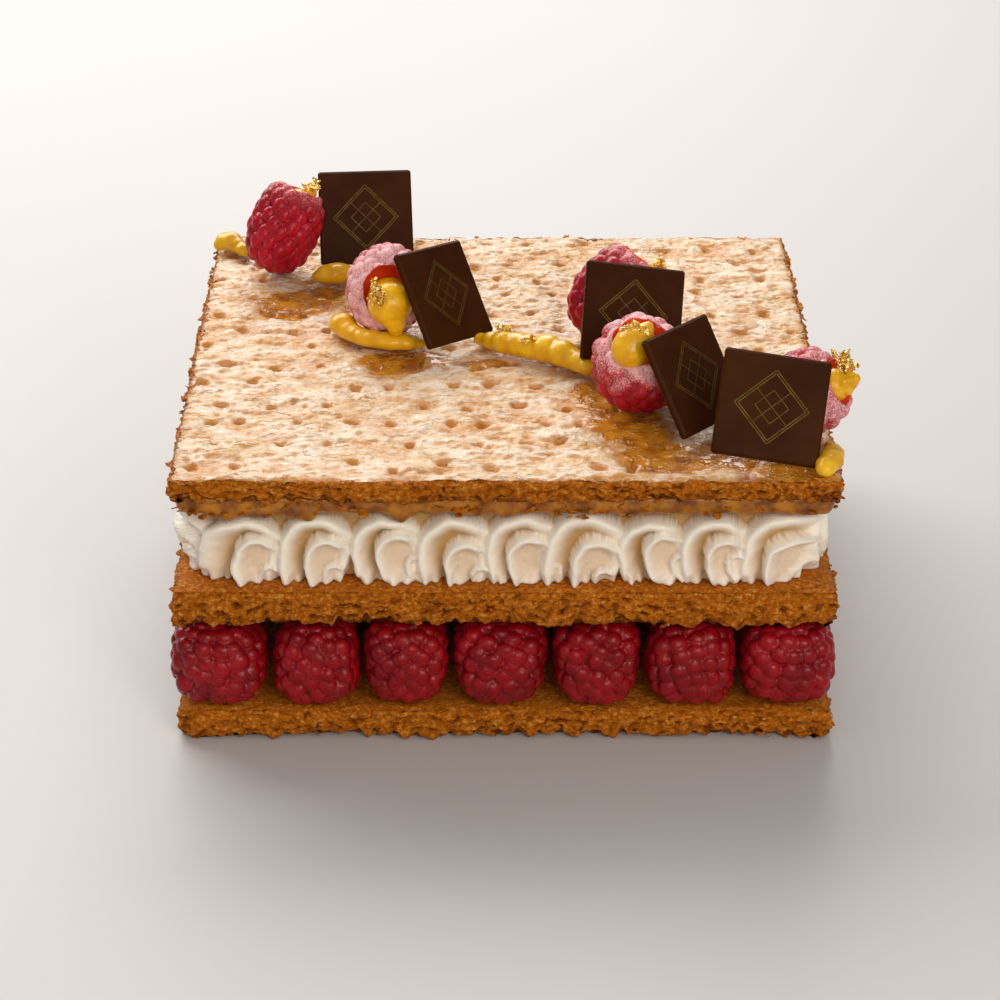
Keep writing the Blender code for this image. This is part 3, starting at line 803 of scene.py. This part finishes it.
def square_off(points):
    """Widens both halves of a raspberry of radius 1 from a ball towards a thimble, the open one more."""
    across = np.linalg.norm(points[:, :2], axis=1)
    power = np.where(points[:, 2] > 0, SQUARENESS, BLUNTNESS)
    square = (across ** power + np.abs(points[:, 2]) ** power) ** (1 / power)
    return points * (np.linalg.norm(points, axis=1) / np.maximum(square, 1e-9))[:, None]


def turned(points, rotation):
    return points @ np.array(rotation.to_3x3()).T


def filling_berries(finish):
    """The outer raspberries, each fitted to its own solid, and a second row that shows between them."""
    draw = random.Random(5)
    patterns = [berry_mesh(f"berry_pattern_{number}", 6, number, hollow=False) for number in range(4)]
    for side, count in OUTER_BERRIES:
        for number in range(1, count + 1):
            node = f"raspberry_{side}_{number}"
            mesh = patterns[draw.randrange(4)].copy()
            mesh.name = node
            points = read_points(mesh) * MM
            points[:, :2] *= (1 - 0.10 * np.clip(points[:, 2], -1, 1))[:, None]
            tip = math.pi if draw.random() < 0.4 else 0
            lean = Euler((tip + draw.uniform(-0.7, 0.7), draw.uniform(-0.5, 0.5), draw.uniform(0, math.tau)))
            points = turned(points, lean.to_matrix())
            fullness = (np.abs(points) ** BERRY_FULLNESS).sum(axis=1) ** (1 / BERRY_FULLNESS)
            points *= (np.linalg.norm(points, axis=1) / fullness)[:, None]
            low, high = (np.array(corner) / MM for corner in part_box(node))
            least, most = points.min(axis=0), points.max(axis=0)
            points = low + (points - least) / (most - least) * (high - low)
            write_points(mesh, points)
            dress(node + "_fruit", mesh, finish, (node,))
    inner_row(finish)
    for pattern in patterns:
        bpy.data.meshes.remove(pattern)


def inner_row(finish):
    """The second row of raspberries as one piece, round a plain block for the rows that nothing shows."""
    draw = random.Random(9)
    low, high = (np.array(corner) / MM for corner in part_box("inner_raspberries"))
    middle = (low + high) / 2
    radius = (high[2] - low[2]) / 2
    pitch = (high[0] - low[0]) / 5
    bm = bmesh.new()
    core = Matrix.Diagonal((*((high - low) * (0.72, 0.72, 0.9) * MM), 1))
    bmesh.ops.create_cube(bm, size=1, matrix=Matrix.Translation(middle * MM) @ core)
    bmesh.ops.bevel(
        bm, geom=bm.edges[:], offset=3 * MM, segments=3, profile=0.5, affect="EDGES", material=-1
    )
    for column in range(5):
        for row in range(5):
            if 0 < column < 4 and 0 < row < 4:
                continue
            x, y = (column - 2) * pitch, (row - 2) * pitch
            ball = bmesh.ops.create_icosphere(bm, subdivisions=4, radius=1)["verts"]
            turn = Euler([draw.uniform(0, math.tau) for _ in range(3)]).to_matrix()
            for vert in ball:
                bumps = math.cos(9 * vert.co.x) * math.cos(9 * vert.co.y) * math.cos(9 * vert.co.z)
                vert.co *= 0.93 + 0.07 * bumps
            place = Matrix.Translation(Vector((x, y, middle[2])) * MM) @ turn.to_4x4()
            bmesh.ops.transform(bm, verts=ball, matrix=place @ Matrix.Scale(radius * MM, 4))
    mesh = to_mesh("inner_raspberries_fruit", bm)
    for name in ("seam", "inside", "sugar"):
        paint(mesh, name, np.zeros(len(mesh.vertices)))
    dress("inner_raspberries_fruit", mesh, finish, ("inner_raspberries",))


def standing(way):
    """The turn that points +Z along way."""
    return Vector(way).to_track_quat("Z", "Y").to_matrix()


def top_berries(finish_of):
    for number, (centre, way, half, sugar, reach) in enumerate(TOP_BERRIES, 1):
        node = f"top_raspberry_{number}"
        mesh = berry_mesh(node, 6, 20 + number, hollow=True, reach=reach)
        points = read_points(mesh) * MM * half
        write_points(mesh, turned(points, standing(way)) + centre)
        dress(node + "_fruit", mesh, finish_of(sugar), (node,))


# Whipped cream


def square_loop(half, corner, count):
    """Evenly spread places on a square path with round corners, from the middle of the front to the right.

    Returns how far along each lies, the places, the outward directions and the whole length.
    """
    straight = half - corner
    bend = math.pi / 2 * corner
    quarter = 2 * straight + bend
    along = np.arange(count) / count * 4 * quarter
    side = np.floor(along / quarter).astype(int)
    local = along - side * quarter
    angle = np.clip((local - straight) / corner, 0, math.pi / 2)
    way = np.stack([np.sin(angle), -np.cos(angle)], axis=1)
    place = np.stack([np.minimum(local, straight), -np.full(count, straight)], axis=1)
    place[:, 1] += np.maximum(local - straight - bend, 0)
    place += corner * way
    for turns in range(3):
        beyond = side > turns
        place[beyond] = np.stack([-place[beyond, 1], place[beyond, 0]], axis=1)
        way[beyond] = np.stack([-way[beyond, 1], way[beyond, 0]], axis=1)
    return along, place, way, 4 * quarter


def drum(name, columns, rows):
    """A closed drum, and the column and row number of each of its points."""
    bm = bmesh.new()
    bmesh.ops.create_circle(bm, segments=columns, radius=1)
    bmesh.ops.rotate(bm, verts=bm.verts, matrix=Matrix.Rotation(0.01 / columns, 3, "Z"))
    lowest = bm.edges[:]
    highest = extrude_rows(bm, lowest, rows, 1)
    bmesh.ops.contextual_create(bm, geom=highest)
    bmesh.ops.contextual_create(bm, geom=lowest)
    bmesh.ops.recalc_face_normals(bm, faces=bm.faces[:])
    mesh = to_mesh(name, bm)
    points = read_points(mesh) * MM
    angle = np.arctan2(points[:, 1], points[:, 0]) % math.tau
    column = np.round(angle / math.tau * columns).astype(int) % columns
    return mesh, column, np.round(points[:, 2]).astype(int)


def swirl_relief(u, v, seed):
    """How far a piped swirl stands out at u across and v up from its centre, and how much painted shade lies
    in its grooves.

    It is a few petals in each other, each an arch with a thick rounded rim that runs out at the right.
    """
    draw = random.Random(100 + seed)
    height = np.full(len(u), -9.0)
    groove_shade = np.zeros(len(u))
    for number, (x, y, radius, hollow, crest) in enumerate(PETALS):
        shift = PETAL_SHIFT * (number > 0)
        dx = u - x - shift * draw.uniform(-0.8, 0.6)
        dy = v - y - shift * draw.uniform(-1, 1)
        angle = np.arctan2(dy, dx)
        open_side = step(np.cos(angle - RUN_OUT), 0.1, 0.95)
        rim = [(2.2 * math.cos(a), 2.2 * math.sin(a), 7.0 * seed + number) for a in angle]
        ragged = np.array([noise.noise(place) for place in rim])
        edge = radius * draw.uniform(0.93, 1.05) * (1 + 0.06 * ragged)
        part = np.hypot(dx, np.where(dy > 0, dy, 0.5 * dy)) / edge
        rise = np.sin(math.pi / 2 * np.clip((part - 0.30) / 0.58, 0, 1)) ** 1.8
        over = np.clip((part - 0.87) / 0.13, 0, 1)
        lip = np.sqrt(np.maximum(1 - over ** 2, 0))
        ridges = 0.16 * np.cos(part * radius * math.tau / 1.7 + 2 * angle) * open_side * step(part, 0.25, 0.5)
        tall = (hollow + crest * rise * (1 - 0.8 * open_side) + ridges) * lip - 9.0 * (over >= 1)
        higher = tall > height
        # Painted shade, deepest in the first petal's hollow and fading up to each rim.
        groove_shade = np.where(higher, (1 - rise) * (1.0, 0.5, 0.2)[number], groove_shade)
        height = np.maximum(height, tall)
    return height, groove_shade


def ragged_foot(s, level, low):
    """How far the cream's foot draws in between its small lobes."""
    uneven = np.array([noise.noise((x / 6, 0, 3)) for x in s.tolist()])
    lobes = np.cos(math.pi * (s / LOBE_PITCH + 0.9 * uneven))
    return LOBE_DEPTH * (1.1 - np.abs(lobes)) * (1 - step(level - low, 0.0, 3.4)) ** 1.2


def whipped_cream(finish):
    """The piped layer: one drum whose wall is pushed out into swirls all the way round."""
    mesh, column, row = drum("whipped_cream_piped", CREAM_COLUMNS, CREAM_ROWS)
    along, place, way, length = square_loop(CREAM_HALF, CREAM_CORNER, CREAM_COLUMNS)
    low, high = CREAM
    level = low + (high - low) * row / CREAM_ROWS
    s = along[column]
    pitch = 2 * CREAM_HALF / SIDE_SWIRLS
    centres = [x % length for x in FRONT_SWIRLS]
    quarter = length / 4
    shifts = [(number - (SIDE_SWIRLS - 1) / 2) * pitch * 0.97 for number in range(SIDE_SWIRLS)]
    for side in (1, 2, 3):
        centres += [side * quarter + shift for shift in shifts]
    draw = random.Random(2)
    height = np.full(len(s), -9.0)
    groove_shade = np.zeros(len(s))
    for number, centre in enumerate(centres):
        size = draw.uniform(0.93, 1.07) * (0.9 if number == 0 else 1.0)
        lean = draw.uniform(-0.28, 0.28)
        lift = draw.uniform(-0.5, 0.4)
        u = (s - centre + length / 2) % length - length / 2
        near = np.abs(u) < SWIRL_REACH
        across, up = u[near] / size, (level[near] - (low + high) / 2 - lift) / size
        turned_u = across * math.cos(lean) - up * math.sin(lean)
        turned_v = across * math.sin(lean) + up * math.cos(lean)
        tall, deep = swirl_relief(turned_u, turned_v, number)
        on_left = number >= len(FRONT_SWIRLS) + 2 * SIDE_SWIRLS
        tall = tall * (LEFT_FULLNESS if on_left else 1.0) + 0.25 * (number % 2)
        higher = tall > height[near]
        groove_shade[near] = np.where(higher, deep, groove_shade[near])
        height[near] = np.maximum(height[near], tall)
    bare = height < 0
    height = np.maximum(height, 0) + 0.15 * noise_at(np.stack([s, level, 0 * s], axis=1), 1.8, 3, 2)
    height = np.maximum(height - ragged_foot(s, level, low), 0)
    # The bare wall between the swirls gets the full painted shade.
    groove_shade = np.where(bare, 1.0, groove_shade)
    flat = place[column] + way[column] * height[:, None]
    write_points(mesh, np.column_stack([flat, level]))
    paint(mesh, "groove_shade", groove_shade)
    dress("whipped_cream_piped", mesh, finish, ("whipped_cream",))


def custard_spread(finish, crumb):
    """The custard under the top sheet, whose edge sags in front of the cream, with crumbs stuck to it."""
    mesh, column, row = drum("custard_spread", SPREAD_COLUMNS, SPREAD_ROWS)
    _, place, way, _ = square_loop(HALF - SPREAD_INSET, 3.0, SPREAD_COLUMNS)
    low, high = CUSTARD
    ring = np.column_stack([place[column], np.zeros(len(column))])
    sag = SPREAD_SAG * np.maximum(noise_at(ring, (6, 6, 1), 71, 3) + 0.32, 0.05)
    sag *= 1 - 0.7 * step(ring[:, 0], 5, 25)
    part = row / SPREAD_ROWS
    bulge = 0.6 * np.sin(math.pi * np.clip(part * 1.25 - 0.25, 0, 1)) + 0.4 * noise_at(ring, (5, 5, 1), 72)
    under = step(part, 0.24, 0.0)
    out = bulge - 2.6 * under - 0.5 * (1 - part)
    level = low + (high - low + SPREAD_RISE) * np.clip(part * 1.2 - 0.2, 0, 1)
    level -= sag * (1 - part) * (1 - step(part, 0.3, 0.0))
    flat = place[column] + way[column] * out[:, None]
    write_points(mesh, np.column_stack([flat, level]))
    add_chips(mesh, (low - STUCK_REACH, high + STUCK_REACH), 95, 1, inset=STUCK_INSET)
    dress("custard_spread", mesh, (finish, crumb), ("custard_layer",))


# Custard on top and gold leaf


def melted(name, balls, finish, nodes, voxel=0.32, flatten=1.0, floor=None):
    """Overlapping balls, given as (x, y, z, radius), melted into one smooth closed body."""
    bm = bmesh.new()
    for x, y, z, radius in balls:
        place = Matrix.Translation(Vector((x, y, z)) * MM) @ Matrix.Diagonal((1, 1, flatten, 1))
        bmesh.ops.create_icosphere(bm, subdivisions=3, radius=radius * MM, matrix=place)
    rough = to_object(name + "_balls", to_mesh(name + "_balls", bm))
    remesh = rough.modifiers.new("melt", "REMESH")
    remesh.mode = "VOXEL"
    remesh.voxel_size = voxel * MM
    smooth = rough.modifiers.new("smooth", "SMOOTH")
    smooth.factor = 0.6
    smooth.iterations = 5
    graph = bpy.context.evaluated_depsgraph_get()
    made = bpy.data.meshes.new_from_object(rough.evaluated_get(graph))
    made.name = name
    bpy.data.objects.remove(rough, do_unlink=True)
    if floor is not None:
        points = read_points(made)
        points[:, 2] = np.maximum(points[:, 2], floor)
        write_points(made, points)
    return dress(name, made, finish, nodes)


def between(first, last, count):
    """Evenly spread steps from first to last, both included."""
    return [tuple(a + (b - a) * n / (count - 1) for a, b in zip(first, last)) for n in range(count)]


def smooth_route(points, steps):
    """Points along a smooth line through the given ones, evenly spread in each stretch."""
    def at(place):
        stretch = min(int(place), len(points) - 2)
        t = place - stretch
        a, b, c, d = (Vector(points[min(max(stretch + k, 0), len(points) - 1)]) for k in (-1, 0, 1, 2))
        bend = 2 * a - 5 * b + 4 * c - d
        return 0.5 * (2 * b + (c - a) * t + bend * t ** 2 + (3 * b - a - 3 * c + d) * t ** 3)

    return [at(number * (len(points) - 1) / (steps - 1)) for number in range(steps)]


def custard_line(finish):
    for seed, (name, route) in enumerate(RIBBONS.items()):
        balls = []
        for number, (x, y, half) in enumerate(smooth_route(route, RIBBON_STEPS * (len(route) - 1))):
            swell = 1 + 0.16 * noise.noise((0.55 * number, 3.1 * seed, 0))
            shift = 0.25 * half * noise.noise((0.4 * number, 7.3, 2.2 * seed))
            radius = half * swell
            balls.append((x + shift, y - shift, RIBBON_BASE + RIBBON_HEIGHT * radius, radius))
        melted(name + "_piped", balls, finish, (name,), flatten=RIBBON_HEIGHT, floor=RIBBON_FLOOR)


def dollops(custard, gold):
    """The custard in each raspberry. The second one runs down over the lip and the fifth is a small star."""
    ridges = [(math.cos(0.3 + n * math.tau / 5), math.sin(0.3 + n * math.tau / 5)) for n in range(5)]
    shapes = (
        [(0, -0.6, -3.0, 3.6), (0, -2.6, -1.0, 2.4), (0, -3.4, 0.4, 1.7)],
        [
            (0.5, -2.2, -1.6, 5.6), (0.6, -2.8, 0.6, 5.5), (1.2, -5.8, 1.0, 3.4),
            (1.8, -7.8, 0.6, 2.5), (1.9, -9.0, 0.0, 2.0),
        ],
        [(0, -1.0, -3.4, 3.4), (0, -2.4, -2.2, 2.8), (0, -3.2, -0.4, 1.5)],
        [
            (-2.0, -2.2, -1.4, 4.6), (-2.2, -2.6, 0.8, 4.5), (-1.9, -1.8, 1.6, 4.2),
            (0.2, 0.4, 1.8, 3.0), (1.2, 1.8, 2.4, 1.9), (1.8, 2.6, 2.8, 1.2),
        ],
        [(0, -0.6, -1.4, 4.0), (0, -0.8, 0.8, 2.9)]
        + [(1.9 * x, 1.9 * y - 0.9, 1.8, 1.35) for x, y in ridges]
        + [(1.2 * x, 1.2 * y - 0.9, 3.4, 1.0) for x, y in ridges]
        + [(0.4 * x, 0.4 * y - 0.9, 4.6, 0.7) for x, y in ridges],
    )
    leaves = (
        ((0.0, -3.0, 2.2), 12, (1.4, 1.4, 1.2)),
        ((-2.4, -0.6, 5.2), 32, (1.6, 3.0, 0.9)),
        ((0.0, -3.6, 2.2), 16, (1.6, 1.4, 1.4)),
        ((-1.2, 0.4, 4.0), 26, (2.2, 1.8, 0.9)),
        ((0.4, 3.0, 3.6), 26, (1.2, 2.8, 2.0)),
    )
    for number, ((centre, way, half, *_), shape, leaf) in enumerate(zip(TOP_BERRIES, shapes, leaves), 1):
        turn = standing(way)
        lip = LIP * half[2]
        balls = []
        for x, y, z, size in shape:
            balls.append((*(Vector(centre) + turn @ Vector((x, y, lip + z))), size))
        node = f"top_custard_{number}"
        melted(node + "_dollop", balls, custard, (node,), voxel=0.26)
        (x, y, z), count, size = leaf
        spot = Vector(centre) + turn @ Vector((x, y, lip + z))
        gold_scraps(f"gold_leaf_{number}", spot, turn, count, size, gold, node, 30 + number)


def gold_scraps(name, spot, turn, count, spread, gold, node, seed):
    """Crumpled scraps of gold leaf round a spot, each a small sheet bent by noise and given a thickness."""
    draw = random.Random(seed)
    bm = bmesh.new()
    for number in range(count):
        size = draw.uniform(SMALLEST_SCRAP, LARGEST_SCRAP)
        sheet = bmesh.ops.create_grid(bm, x_segments=6, y_segments=4, size=size)["verts"]
        for vert in sheet:
            place = vert.co * 0.9 + Vector((0, 0, 5.0 * number + seed))
            vert.co.y *= 0.75 + 0.5 * noise.noise(place * 2.0)
            vert.co.z += 0.85 * size * noise.noise(place * 1.5)
            vert.co.x += 0.45 * size * noise.noise(place * 2.1 + Vector((3, 1, 2)))
        lie = Euler([draw.uniform(0, math.tau) for _ in range(3)]).to_matrix().to_4x4()
        shift = turn @ Vector([draw.gauss(0, 0.45 * wide) for wide in spread])
        bmesh.ops.transform(bm, verts=sheet, matrix=Matrix.Translation(spot + shift) @ lie)
    thicken_sheets(bm, LEAF_THICK)
    dress(name, to_mesh(name, bm), gold, (node,), smooth=False)


def specks_on_strip(gold):
    flat = Matrix.Identity(3)
    for number, spot in enumerate(SPECKS, 1):
        name = f"gold_speck_{number}"
        gold_scraps(name, Vector(spot), flat, 9, (1.4, 1.2, 0.7), gold, "custard_strip", 50 + number)


# Chocolate plaques


def plaque_turn(turn, lean, twist):
    return (
        Matrix.Rotation(math.radians(turn), 3, "Z")
        @ Matrix.Rotation(math.radians(lean), 3, "X")
        @ Matrix.Rotation(math.radians(twist), 3, "Y")
    )


def gold_line(bm, first, last, width):
    """A thin raised line on a plaque's front, between two places in the plaque's own plane."""
    a, b = Vector((first[0], 0, first[1])), Vector((last[0], 0, last[1]))
    run = b - a
    turn = Matrix.Rotation(-math.atan2(run.z, run.x), 4, "Y")
    middle = Matrix.Translation((a + b) / 2 - Vector((0, PLAQUE_THICK / 2, 0)))
    size = Matrix.Diagonal((run.length, LINE_THICK, width, 1))
    bmesh.ops.create_cube(bm, size=1, matrix=middle @ turn @ size)


def plaques(frame, chocolate, gold_print):
    """The plaques keep their solids. Each gets a lattice of fine gold lines within a double frame."""
    for number, (centre, turn, lean, twist) in enumerate(PLAQUES, 1):
        solid = frame["nodes"][f"plaque_{number}"]
        solid.data.materials.clear()
        solid.data.materials.append(chocolate)
        bm = bmesh.new()
        for reach in FRAMES:
            corners = [(-reach, 0), (0, reach), (reach, 0), (0, -reach)]
            for first, last in zip(corners, corners[1:] + corners[:1]):
                gold_line(bm, first, last, FRAME_WIDTH)
        for shift in (-BAR_PITCH, 0.0, BAR_PITCH):
            half = (FRAMES[1] - abs(shift)) / 2
            middle = shift / 2
            gold_line(bm, (middle - half, middle + half), (middle + half, middle - half), BAR_WIDTH)
            gold_line(bm, (middle - half, -middle - half), (middle + half, -middle + half), BAR_WIDTH)
        bmesh.ops.rotate(bm, verts=bm.verts, matrix=plaque_turn(turn, lean, twist))
        bmesh.ops.translate(bm, verts=bm.verts, vec=centre)
        bmesh.ops.scale(bm, verts=bm.verts, vec=(MM, MM, MM))
        name = f"plaque_{number}_lines"
        dress(name, to_mesh(name, bm), gold_print, smooth=False)


# Camera, light and floor


def set_camera():
    turn, pitch, roll = (math.radians(x) for x in (CAMERA_TURN, CAMERA_PITCH, CAMERA_ROLL))
    camera = bpy.data.cameras.new("camera")
    camera.lens = LENS
    camera.sensor_width = SENSOR
    camera.clip_start = 0.01
    obj = to_object("camera", camera)
    forward = Vector((math.sin(turn) * math.cos(pitch), math.cos(turn) * math.cos(pitch), -math.sin(pitch)))
    right = Vector((math.cos(turn), -math.sin(turn), 0))
    up = right.cross(forward)
    rolled_right = right * math.cos(roll) + up * math.sin(roll)
    rolled_up = up * math.cos(roll) - right * math.sin(roll)
    axes = Matrix((rolled_right, rolled_up, -forward)).transposed()
    obj.matrix_world = Matrix.Translation(CAMERA_PLACE) @ axes.to_4x4()
    bpy.context.scene.camera = obj


def area_light(name, place, aim_height, width, height, power, colour):
    light = bpy.data.lights.new(name, "AREA")
    light.shape = "RECTANGLE"
    light.size, light.size_y = width, height
    light.energy = power
    light.color = colour
    obj = to_object(name, light)
    obj.location = place
    obj.rotation_euler = (Vector((0, 0, aim_height)) - Vector(place)).to_track_quat("-Z", "Y").to_euler()


def studio():
    world = bpy.data.worlds.new("studio")
    bpy.context.scene.world = world
    world.use_nodes = True
    set_inputs(world.node_tree.nodes["Background"], Color=SKY, Strength=SKY_STRENGTH)
    for name, values in LIGHTS.items():
        area_light(name, *values)
    bm = bmesh.new()
    bmesh.ops.create_grid(bm, x_segments=1, y_segments=1, size=3)
    floor = to_object("floor", to_mesh("floor", bm))
    made, tree, shader = new_material("pale_floor")
    shade = add_mix(tree, add_noise(tree, 3, 2), (0.53, 0.515, 0.495), (0.57, 0.555, 0.535))
    set_inputs(shader, Base_Color=shade, Roughness=0.55)
    floor.data.materials.append(made)


def main():
    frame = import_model()
    set_camera()
    studio()
    bpy.context.scene.view_settings.view_transform = "Standard"

    crumb = crumb_finish()
    # The third colour is the painted shade in the seams between the drupelets.
    fruit = berry_finish("raspberry", (0.19, 0.001, 0.004), (0.33, 0.003, 0.009), (0.10, 0.0, 0.002), 0.0)
    custard = custard_finish("custard", (0.74, 0.36, 0.002), (0.90, 0.53, 0.012))
    gold = gold_finish()
    pastry_sheets(crumb, crust_finish())
    filling_berries(fruit)
    whipped_cream(cream_finish())
    # The custard under the top sheet: custard colours darkened with painted shade.
    custard_spread(custard_finish("custard_spread", (0.17, 0.040, 0.001), (0.46, 0.170, 0.006)), crumb)

    def sugared(amount):
        name = f"sugared_raspberry_{round(100 * amount)}"
        # The third colour is the painted shade in the seams between the drupelets.
        return berry_finish(name, (0.30, 0.002, 0.009), (0.48, 0.006, 0.022), (0.20, 0.002, 0.008), amount)

    top_berries(sugared)
    dollops(custard, gold)
    custard_line(custard)
    specks_on_strip(gold)
    plaques(frame, chocolate_finish(), printed_gold_finish())


main()
